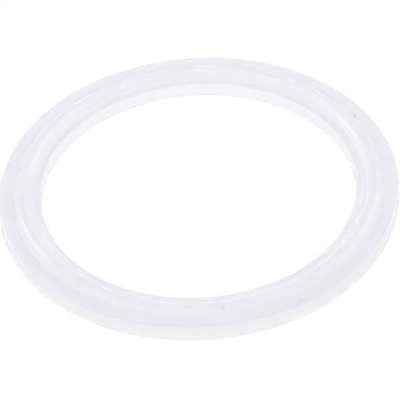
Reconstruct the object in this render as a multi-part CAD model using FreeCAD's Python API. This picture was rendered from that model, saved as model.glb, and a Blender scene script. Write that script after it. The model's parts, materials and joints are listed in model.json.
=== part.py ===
import FreeCAD, Part
import math
import os

# Gasket of silicone rubber for a clamped sanitary pipe union, moulded in one piece.
# Its section is a flat web with a rounded bead on each face, turned about the pipe's axis.
# Millimetres. Z is the pipe's axis, and the origin is the middle of the bore at half thickness.

# Driving dimensions
bore_diameter = 50.5  # level with the inside of the pipe
inner_land_width = 1.45  # flat from the bore to the bead
bead_width = 2.8  # from foot to foot
outer_land_width = 2.5  # flat from the bead to the rim
web_thickness = 2.8  # from land to land
bead_height = 1.0  # from a land to a crest
edge_radius = 0.3  # the four corners of the web
foot_radius = 0.45  # the hollow where a bead runs out into a land

# Radii about the axis, and heights over half thickness
bore = bore_diameter / 2
bead_circle = bore + inner_land_width + bead_width / 2
rim = bead_circle + bead_width / 2 + outer_land_width
land = web_thickness / 2
crest = land + bead_height

# The bead is an arc through its crest and feet, and each hollow is an arc tangent to it and to the land
bead_radius = (bead_width**2 / 4 + bead_height**2) / (2 * bead_height)
bead_middle = crest - bead_radius
foot_middle = land + foot_radius
foot_rise = foot_middle - bead_middle
foot_reach = math.sqrt((bead_radius + foot_radius) ** 2 - foot_rise**2)
foot_lean = math.atan2(foot_reach, foot_rise)


def point(radius, height):
    return FreeCAD.Vector(radius, 0, height)


def on_arc(radius, height, arc_radius, lean):
    """The point of an arc about (radius, height) at an angle from the upward direction."""
    return point(radius + arc_radius * math.sin(lean), height + arc_radius * math.cos(lean))


def arc(start, middle, end):
    return Part.Arc(start, middle, end).toShape()


def line(start, end):
    return Part.LineSegment(start, end).toShape()


def bead_flank(side, up):
    """Where the bead passes into a hollow: side is 1 to the rim or -1 to the bore, up is 1 or -1."""
    return on_arc(bead_circle, up * bead_middle, up * bead_radius, side * up * foot_lean)


def half_face(side, up):
    """The outline of a face from its bead to a wall."""
    foot = bead_circle + side * foot_reach
    hollow_end = point(foot, up * land)
    hollow = on_arc(foot, up * foot_middle, -up * foot_radius, side * up * foot_lean / 2)
    wall = rim if side > 0 else bore
    corner = wall - side * edge_radius
    corner_height = land - edge_radius
    land_end = point(corner, up * land)
    corner_middle = on_arc(corner, up * corner_height, up * edge_radius, side * up * math.pi / 4)
    return [
        arc(bead_flank(side, up), hollow, hollow_end),
        line(hollow_end, land_end),
        arc(land_end, corner_middle, point(wall, up * corner_height)),
    ]


def sealing_ring():
    outline = []
    for up in (1, -1):
        outline.append(arc(bead_flank(1, up), point(bead_circle, up * crest), bead_flank(-1, up)))
        outline += half_face(1, up) + half_face(-1, up)
    for wall in (rim, bore):
        outline.append(line(point(wall, land - edge_radius), point(wall, edge_radius - land)))
    section = Part.Face(Part.Wire(Part.__sortEdges__(outline)))
    return section.revolve(FreeCAD.Vector(0, 0, 0), FreeCAD.Vector(0, 0, 1), 360)


os.makedirs("parts", exist_ok=True)
ring = sealing_ring()
ring.exportStep("parts/sealing_ring.step")
print("sealing_ring valid:", ring.isValid(), "volume in mm3:", round(ring.Volume, 2))
print("outer diameter:", round(2 * rim, 3), "bead circle diameter:", round(2 * bead_circle, 3))
print("overall thickness:", round(2 * crest, 3))
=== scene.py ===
import json
import math
import bpy
from mathutils import Matrix, Vector


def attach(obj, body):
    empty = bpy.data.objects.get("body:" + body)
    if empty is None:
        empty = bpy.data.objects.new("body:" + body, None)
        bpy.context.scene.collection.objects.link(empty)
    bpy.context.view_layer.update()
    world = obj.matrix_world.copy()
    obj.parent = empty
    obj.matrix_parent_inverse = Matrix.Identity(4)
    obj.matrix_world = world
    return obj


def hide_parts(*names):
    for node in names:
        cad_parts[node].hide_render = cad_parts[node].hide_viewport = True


# Sealing ring of milky, translucent silicone for a clamped pipe union, lying on a white table.
# Metres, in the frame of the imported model: Z is the axis of the bore, and the camera looks along +Y.
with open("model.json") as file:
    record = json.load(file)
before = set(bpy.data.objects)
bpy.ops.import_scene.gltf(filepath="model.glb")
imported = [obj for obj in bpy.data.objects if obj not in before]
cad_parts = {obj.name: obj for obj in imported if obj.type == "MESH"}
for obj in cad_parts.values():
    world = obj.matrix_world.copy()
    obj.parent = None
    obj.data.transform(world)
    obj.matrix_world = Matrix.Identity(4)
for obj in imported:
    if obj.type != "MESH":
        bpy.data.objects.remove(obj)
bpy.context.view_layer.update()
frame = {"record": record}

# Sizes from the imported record
mounts = {mount["name"]: mount for mount in frame["record"]["mounts"]}
BORE = mounts["bore"]["dims"]["r_mm"] / 1000
RIM = mounts["rim"]["dims"]["r_mm"] / 1000
OUTER_LAND_MIDDLE = mounts["upper_land"]["pos_m"][0]
LAND = mounts["upper_land"]["pos_m"][2]
BEAD_CIRCLE = mounts["upper_bead"]["pos_m"][0]
CREST = mounts["upper_bead"]["pos_m"][2]
EDGE_RADIUS = 0.0003
FOOT_RADIUS = 0.00045

# The bead is an arc through its crest and feet, and each hollow is an arc tangent to it and to the land
BEAD_FOOT = 2 * OUTER_LAND_MIDDLE - RIM
HALF_BEAD = BEAD_FOOT - BEAD_CIRCLE
BEAD_HEIGHT = CREST - LAND
BEAD_RADIUS = (HALF_BEAD**2 + BEAD_HEIGHT**2) / (2 * BEAD_HEIGHT)
BEAD_MIDDLE = CREST - BEAD_RADIUS
FOOT_MIDDLE = LAND + FOOT_RADIUS
FOOT_REACH = math.sqrt((BEAD_RADIUS + FOOT_RADIUS) ** 2 - (FOOT_MIDDLE - BEAD_MIDDLE) ** 2)
FOOT_LEAN = math.atan2(FOOT_REACH, FOOT_MIDDLE - BEAD_MIDDLE)

# Fineness of the mesh
TURN_STEPS = 512
BEAD_STEPS = 28
HOLLOW_STEPS = 6
EDGE_STEPS = 6
MERGE_DISTANCE = 1e-6
SAME_PLACE = 1e-5

# Milky silicone: own tint, random clouds and specks; painted light on the inner flank and bore wall; painted
# shade on the outer land, lips, rounded edges and rim wall
FACE_COLOUR = (0.89, 0.9, 0.975, 1)
CLOUD_COLOUR = (0.87, 0.88, 0.97, 1)
# Painted light: the bead's inner flank is painted lighter than the face
PAINTED_FLANK_LIGHT = (0.91, 0.915, 0.99, 1)
# Painted shade: the outer land past the bead's foot is painted darker, more so towards the rim
PAINTED_FOOT_SHADE = (0.885, 0.89, 0.95, 1)
PAINTED_OUTER_SHADE = (0.88, 0.88, 0.94, 1)
# Painted shade: the rounded edges are painted darker, the lower ones darkest
PAINTED_EDGE_SHADE = (0.83, 0.83, 0.86, 1)
PAINTED_LOWER_EDGE_SHADE = (0.72, 0.72, 0.73, 1)
# Painted shade: narrow dark lips beside the rounded edges of bore and rim
PAINTED_LIP_SHADE = (0.85, 0.855, 0.92, 1)
# Painted light: the bore wall is painted lighter than the faces
PAINTED_BORE_WALL_LIGHT = (0.93, 0.93, 0.935, 1)
# Painted shade on the rim wall, with painted light towards its underside
PAINTED_RIM_SHADE = (0.84, 0.84, 0.855, 1)
PAINTED_RIM_FOOT_LIGHT = (0.86, 0.86, 0.85, 1)
SPECK_COLOUR = (0.5, 0.5, 0.52, 1)
WHITE = (1, 1, 1, 1)

# Finish of the silicone
CLEAR_SHARE = 0.3
SCATTER_LENGTH = 0.003
SILICONE_IOR = 1.41
SKIN_ROUGHNESS = 0.25
CLEAR_ROUGHNESS = 0.7
INSIDE_ROUGHNESS = 0.6
CLOUDS_PER_METRE = 350
CLOUD_START = 0.35
CLOUD_END = 0.65
RIPPLES_PER_METRE = 900
RIPPLE_HEIGHT = 0.00002

# Dark specks in the upper face: azimuth in degrees, distance from the axis, reach and strength
SPECKS = [(28.5, 0.02995, 0.00042, 0.6), (-62.3, 0.03115, 0.00045, 0.3), (-85.0, 0.0288, 0.0004, 0.22)]

# Table: what share of it the camera and reflections see as an even glow, and how bright it is otherwise
TABLE_SIZE = 2.0
TABLE_PAINT = (0.95, 0.95, 0.95, 1)
TABLE_GLOW = 0.98
TABLE_MIRRORED = 0.87
TABLE_LIT = 0.5
TABLE_LIGHT = 1.24

# Walls of the studio, whose light changes towards the right and the back and falls off upwards
SKY_COLOUR = (0.985, 0.988, 1.015, 1)
WALL_LIGHT = 1.17
WALL_RIGHT = -0.2
WALL_BACK = -0.2
WALL_FALL = 5

# Soft screens: azimuth and height in degrees, level, and how fast the light falls off around the middle
SCREENS = [
    (270, 40, 0.95, 7),
    (0, 40, 0.65, 7),
    (180, 40, 0.3, 7),
    (90, 40, 0.25, 7),
    (0, 90, 0.75, 6),
]

# The two strip lights behind the ring, with azimuths in degrees
STRIP_WIDTH = 0.06
STRIP_HEIGHT = 0.3
STRIP_DISTANCE = 0.6
STRIP_RAISED = 35
LEFT_STRIP = 145
RIGHT_STRIP = 37
LEFT_POWER = 0.72
RIGHT_POWER = 0.65

# The photograph's viewpoint, found from the outlines of rim and bore
PICTURE_WIDTH = 400
SENSOR_WIDTH = 0.036
FOCAL_PIXELS = 2793.0
CAMERA_RAISED = math.radians(42.7)
CAMERA_ROLL = math.radians(-4.01)
CAMERA_DISTANCE = 14 * RIM
AIM = Vector((0.004 * RIM, -0.012 * RIM, -LAND))


class Signal:
    """A number that varies over a surface. Python's operators on it add Math nodes."""

    def __init__(self, shader, socket):
        self.shader = shader
        self.socket = socket

    def maths(self, operation, *values):
        node = self.shader.node("Math", {"operation": operation}, dict(enumerate(values)))
        return Signal(self.shader, node.outputs[0])

    def __add__(self, other):
        return self.maths("ADD", self, other)

    def __radd__(self, other):
        return self.maths("ADD", other, self)

    def __sub__(self, other):
        return self.maths("SUBTRACT", self, other)

    def __rsub__(self, other):
        return self.maths("SUBTRACT", other, self)

    def __mul__(self, other):
        return self.maths("MULTIPLY", self, other)

    def __rmul__(self, other):
        return self.maths("MULTIPLY", other, self)

    def __pow__(self, other):
        return self.maths("POWER", self, other)

    def __abs__(self):
        return self.maths("ABSOLUTE", self)

    def rises(self, start, end):
        """0 before start, 1 past end and smooth between."""
        ends = {"interpolation_type": "SMOOTHSTEP"}
        sockets = {"Value": self, "From Min": start, "From Max": end}
        return self.shader.value("MapRange", ends, sockets)


class Shader:
    """The nodes of a material or world, built from nothing."""

    def __init__(self, owner):
        owner.use_nodes = True
        self.tree = owner.node_tree
        self.tree.nodes.clear()

    def node(self, kind, settings=(), sockets=()):
        """Adds a node, changes its settings, and gives its sockets their values or links."""
        made = self.tree.nodes.new("ShaderNode" + kind)
        for name, setting in dict(settings).items():
            setattr(made, name, setting)
        for name, value in dict(sockets).items():
            if isinstance(value, Signal):
                value = value.socket
            if isinstance(value, bpy.types.NodeSocket):
                self.tree.links.new(value, made.inputs[name])
            else:
                made.inputs[name].default_value = value
        return made

    def value(self, kind, settings=(), sockets=(), output=0):
        return Signal(self, self.node(kind, settings, sockets).outputs[output])

    def noise(self, place, scale):
        return self.value("TexNoise", {}, {"Vector": place, "Scale": scale, "Detail": 2.0, "Roughness": 0.5})

    def blend(self, share, first, second):
        """One colour turning into another. The Mix node's colours are inputs 6 and 7 and output 2."""
        return self.node("Mix", {"data_type": "RGBA"}, {0: share, 6: first, 7: second}).outputs[2]


def deselect():
    bpy.ops.object.select_all(action="DESELECT")


def select_points(mesh, wanted):
    """Selects the vertices whose place passes a test, in edit mode."""
    bpy.ops.mesh.select_all(action="DESELECT")
    bpy.ops.object.mode_set(mode="OBJECT")
    for vertex in mesh.vertices:
        vertex.select = wanted(vertex.co)
    bpy.ops.object.mode_set(mode="EDIT")


def near(place, x, z):
    return math.hypot(place.x - x, place.z - z) < SAME_PLACE


def draw_bead(mesh, up):
    """Draws hollow, bead and hollow as three arcs across the land's opening between the bead's two hollows.
    """
    outer = BEAD_CIRCLE + FOOT_REACH
    inner = BEAD_CIRCLE - FOOT_REACH
    face = up * LAND
    select_points(mesh, lambda place: near(place, outer, face))
    across = (0, -up, 0)
    back = (0, up, 0)
    bpy.ops.mesh.spin(
        steps=HOLLOW_STEPS, angle=FOOT_LEAN, center=(outer, 0, up * FOOT_MIDDLE), axis=across
    )
    bpy.ops.mesh.spin(
        steps=BEAD_STEPS, angle=2 * FOOT_LEAN, center=(BEAD_CIRCLE, 0, up * BEAD_MIDDLE), axis=back
    )
    bpy.ops.mesh.spin(
        steps=HOLLOW_STEPS, angle=FOOT_LEAN, center=(inner, 0, up * FOOT_MIDDLE), axis=across
    )


def make_section():
    """The outline of the ring's section, in the plane through +X and the bore's axis."""
    deselect()
    middle = (BORE + RIM) / 2
    bpy.ops.mesh.primitive_plane_add(size=1, location=(middle, 0, 0), rotation=(math.pi / 2, 0, 0))
    ring = bpy.context.object
    ring.scale = (RIM - BORE, 2 * LAND, 1)
    bpy.ops.object.transform_apply(location=True, rotation=True, scale=True)
    bpy.ops.object.mode_set(mode="EDIT")
    bpy.ops.mesh.select_all(action="SELECT")
    bpy.ops.mesh.bevel(
        offset=EDGE_RADIUS, segments=EDGE_STEPS, affect="VERTICES", offset_type="OFFSET"
    )
    bpy.ops.mesh.select_all(action="SELECT")
    bpy.ops.mesh.delete(type="ONLY_FACE")
    for cut in (BEAD_CIRCLE - FOOT_REACH, BEAD_CIRCLE + FOOT_REACH):
        bpy.ops.mesh.select_all(action="SELECT")
        bpy.ops.mesh.bisect(plane_co=(cut, 0, 0), plane_no=(1, 0, 0))
    return ring


def turn(ring):
    """Turns the section once about the bore's axis."""
    bpy.ops.mesh.select_all(action="SELECT")
    bpy.ops.mesh.remove_doubles(threshold=MERGE_DISTANCE)
    bpy.ops.mesh.select_all(action="SELECT")
    bpy.ops.mesh.spin(steps=TURN_STEPS, angle=2 * math.pi, center=(0, 0, 0), axis=(0, 0, 1))
    bpy.ops.mesh.select_all(action="SELECT")
    bpy.ops.mesh.remove_doubles(threshold=MERGE_DISTANCE)
    bpy.ops.mesh.select_all(action="SELECT")
    bpy.ops.mesh.normals_make_consistent(inside=False)
    bpy.ops.object.mode_set(mode="OBJECT")
    bpy.ops.object.shade_smooth()


def between_hollows(edge_middle, up):
    return abs(edge_middle.x - BEAD_CIRCLE) < HALF_BEAD / 2 and edge_middle.z * up > LAND / 2


def make_ring():
    ring = make_section()
    mesh = ring.data
    bpy.ops.mesh.select_all(action="DESELECT")
    bpy.ops.object.mode_set(mode="OBJECT")
    for edge in mesh.edges:
        first, second = (mesh.vertices[index].co for index in edge.vertices)
        middle = (first + second) / 2
        edge.select = between_hollows(middle, 1) or between_hollows(middle, -1)
    bpy.ops.object.mode_set(mode="EDIT")
    bpy.context.tool_settings.mesh_select_mode = (False, True, False)
    bpy.ops.mesh.delete(type="EDGE")
    bpy.context.tool_settings.mesh_select_mode = (True, False, False)
    for up in (1, -1):
        draw_bead(mesh, up)
    turn(ring)
    ring.name = "silicone_ring"
    mesh.name = "silicone_ring"
    return ring


def face_colour(shader, place, radius):
    """A cloudy face with painted light on the bead's inner flank, painted shade on the outer land past its
    foot, and painted shade at the lips.
    """
    climb = radius.rises(BORE, BEAD_CIRCLE - HALF_BEAD)
    # Painted light on the bead's inner flank
    flank = climb * (1 - radius.rises(BEAD_CIRCLE - HALF_BEAD / 2, BEAD_CIRCLE))
    cloud = shader.noise(place, CLOUDS_PER_METRE).rises(CLOUD_START, CLOUD_END)
    face = shader.blend(cloud, FACE_COLOUR, CLOUD_COLOUR)
    face = shader.blend(flank, face, PAINTED_FLANK_LIGHT)
    # Painted shade on the outer land, from the bead's foot out to the rim
    face = shader.blend(radius.rises(BEAD_FOOT - HALF_BEAD / 2, BEAD_FOOT), face, PAINTED_FOOT_SHADE)
    face = shader.blend(radius.rises(BEAD_FOOT, RIM - EDGE_RADIUS), face, PAINTED_OUTER_SHADE)
    # Painted shade along the lips next to the bore and the rim
    hole_lip_shade = 1 - radius.rises(BORE + EDGE_RADIUS, BORE + 3 * EDGE_RADIUS)
    lip_shade = hole_lip_shade + radius.rises(RIM - 3 * EDGE_RADIUS, RIM - EDGE_RADIUS)
    return shader.blend(lip_shade, face, PAINTED_LIP_SHADE)


def ring_colour(shader, place):
    """The face colours with their painted light and shade, the bore wall painted lighter, the rim wall
    painted darker and lightening towards its underside, painted shade on the rounded edges, and the specks
    on the upper face.
    """
    x, y, z = (shader.value("SeparateXYZ", {}, {"Vector": place}, output=axis) for axis in range(3))
    radius = (x * x + y * y) ** 0.5
    height = abs(z)
    upwards = z.rises(-LAND, LAND)
    # Rim wall: painted shade at the top, painted light towards the underside
    rim = shader.blend(upwards, PAINTED_RIM_FOOT_LIGHT, PAINTED_RIM_SHADE)
    # Painted light on the bore wall, painted shade on the rim wall
    side = shader.blend(radius.rises(BORE, RIM), PAINTED_BORE_WALL_LIGHT, rim)
    wall = 1 - height.rises(LAND - EDGE_RADIUS, LAND - EDGE_RADIUS / 4)
    colour = shader.blend(wall, face_colour(shader, place, radius), side)
    # Painted shade on the rounded edges
    edge = height.rises(LAND - EDGE_RADIUS, LAND - EDGE_RADIUS / 2)
    edge = edge * (1 - height.rises(LAND - EDGE_RADIUS / 10, LAND))
    colour = shader.blend(edge, colour, shader.blend(upwards, PAINTED_LOWER_EDGE_SHADE, PAINTED_EDGE_SHADE))
    for azimuth, speck_radius, reach, depth in SPECKS:
        turned = math.radians(azimuth)
        off_x = x - speck_radius * math.cos(turned)
        off_y = y - speck_radius * math.sin(turned)
        off = (off_x * off_x + off_y * off_y) ** 0.5
        mark = (1 - off.rises(0, reach)) * depth * z.rises(0, LAND)
        colour = shader.blend(mark, colour, SPECK_COLOUR)
    return colour


def silicone():
    """Part of the light scatters under the skin, and part passes it and runs on through the clear inside."""
    material = bpy.data.materials.new("milky silicone")
    shader = Shader(material)
    place = shader.node("TexCoord").outputs["Object"]
    colour = ring_colour(shader, place)
    ripples = shader.noise(place, RIPPLES_PER_METRE)
    bump = shader.node("Bump", {}, {"Height": ripples, "Distance": RIPPLE_HEIGHT, "Strength": 1.0})
    milky = shader.node(
        "BsdfPrincipled",
        {},
        {
            "Base Color": colour,
            "Normal": bump.outputs[0],
            "Roughness": SKIN_ROUGHNESS,
            "IOR": SILICONE_IOR,
            "Subsurface Weight": 1.0,
            "Subsurface Radius": (1, 1, 1),
            "Subsurface Scale": SCATTER_LENGTH,
        },
    )
    clear = shader.node(
        "BsdfPrincipled",
        {},
        {
            "Base Color": colour,
            "Normal": bump.outputs[0],
            "Roughness": CLEAR_ROUGHNESS,
            "IOR": SILICONE_IOR,
            "Transmission Weight": 1.0,
        },
    )
    within = shader.node(
        "BsdfPrincipled",
        {},
        {
            "Base Color": WHITE,
            "Roughness": INSIDE_ROUGHNESS,
            "IOR": SILICONE_IOR,
            "Transmission Weight": 1.0,
        },
    )
    skin = shader.node("MixShader", {}, {0: CLEAR_SHARE, 1: milky.outputs[0], 2: clear.outputs[0]})
    inside = shader.node("NewGeometry").outputs["Backfacing"]
    whole = shader.node("MixShader", {}, {0: inside, 1: skin.outputs[0], 2: within.outputs[0]})
    shader.node("OutputMaterial", {}, {"Surface": whole.outputs[0]})
    return material


def make_table():
    """A white table under the ring. The camera and glossy reflections see an even glow with a trace of
    shadow, and other light meets half white paint and half glow."""
    deselect()
    bpy.ops.mesh.primitive_plane_add(size=TABLE_SIZE, location=(0, 0, -CREST))
    table = bpy.context.object
    table.name = "table"
    material = bpy.data.materials.new("white table")
    shader = Shader(material)
    path = shader.node("LightPath")
    seen = Signal(shader, path.outputs["Is Camera Ray"])
    mirrored = Signal(shader, path.outputs["Is Glossy Ray"])
    paint = shader.node("BsdfDiffuse", {}, {"Color": TABLE_PAINT})
    lit = shader.node("Emission", {}, {"Color": WHITE, "Strength": TABLE_LIGHT})
    top = shader.node("MixShader", {}, {0: TABLE_LIT, 1: paint.outputs[0], 2: lit.outputs[0]})
    level = TABLE_MIRRORED + (1 - TABLE_MIRRORED) * seen
    glow = shader.node("Emission", {}, {"Color": WHITE, "Strength": level})
    share = seen.maths("MAXIMUM", seen, mirrored) * TABLE_GLOW
    surface = shader.node("MixShader", {}, {0: share, 1: top.outputs[0], 2: glow.outputs[0]})
    shader.node("OutputMaterial", {}, {"Surface": surface.outputs[0]})
    table.data.materials.append(material)


def toward(azimuth, elevation):
    """The direction at angles in degrees: azimuth 0 is +X and 90 is behind the ring."""
    turned = math.radians(azimuth)
    raised = math.radians(elevation)
    flat = math.cos(raised)
    return Vector((flat * math.cos(turned), flat * math.sin(turned), math.sin(raised)))


def make_world():
    """A white studio: low walls, brighter to the left and the front, with soft screens in front, at the
    right, at the left, behind and overhead. The camera sees plain white."""
    world = bpy.data.worlds.new("white studio")
    bpy.context.scene.world = world
    shader = Shader(world)
    path = shader.node("LightPath")
    seen = Signal(shader, path.outputs["Is Camera Ray"])
    direction = shader.node("TexCoord").outputs["Generated"]
    x, y, z = (shader.value("SeparateXYZ", {}, {"Vector": direction}, output=axis) for axis in range(3))
    light = (1 - z * z) ** WALL_FALL * (WALL_LIGHT + x * WALL_RIGHT + y * WALL_BACK)
    for azimuth, elevation, level, fall in SCREENS:
        axis = toward(azimuth, elevation)
        facing = shader.value(
            "VectorMath", {"operation": "DOT_PRODUCT"}, {0: direction, 1: axis}, output="Value"
        )
        light = light + facing.maths("MAXIMUM", facing, 0) ** fall * level
    strength = light * (1 - seen) + seen
    sky = shader.node("Background", {}, {"Color": SKY_COLOUR, "Strength": strength})
    shader.node("OutputWorld", {}, {"Surface": sky.outputs[0]})


def add_strip(name, azimuth, power):
    """A narrow upright soft box that faces the ring and gives the bead its fine highlights."""
    place = STRIP_DISTANCE * toward(azimuth, STRIP_RAISED)
    light = bpy.data.lights.new(name, "AREA")
    light.shape = "RECTANGLE"
    light.size = STRIP_WIDTH
    light.size_y = STRIP_HEIGHT
    light.energy = power
    lamp = bpy.data.objects.new(name, light)
    lamp.location = place
    lamp.rotation_euler = (-place).to_track_quat("-Z", "Y").to_euler()
    bpy.context.scene.collection.objects.link(lamp)


def make_camera():
    data = bpy.data.cameras.new("camera")
    camera = bpy.data.objects.new("camera", data)
    bpy.context.scene.collection.objects.link(camera)
    back = Vector((0, -math.cos(CAMERA_RAISED), math.sin(CAMERA_RAISED)))
    level = Vector((1, 0, 0))
    upward = back.cross(level)
    right = math.cos(CAMERA_ROLL) * level + math.sin(CAMERA_ROLL) * upward
    top = math.cos(CAMERA_ROLL) * upward - math.sin(CAMERA_ROLL) * level
    place = AIM + CAMERA_DISTANCE * back
    camera.matrix_world = Matrix((right, top, back)).transposed().to_4x4()
    camera.location = place
    data.lens = FOCAL_PIXELS * SENSOR_WIDTH * 1000 / PICTURE_WIDTH
    data.clip_start = 0.01
    data.clip_end = 10
    bpy.context.scene.camera = camera


make_camera()
make_table()
make_world()
add_strip("left strip", LEFT_STRIP, LEFT_POWER)
add_strip("right strip", RIGHT_STRIP, RIGHT_POWER)
ring = make_ring()
ring.data.materials.append(silicone())
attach(ring, "root")
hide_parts("sealing_ring")
bpy.context.scene.view_settings.view_transform = "Standard"
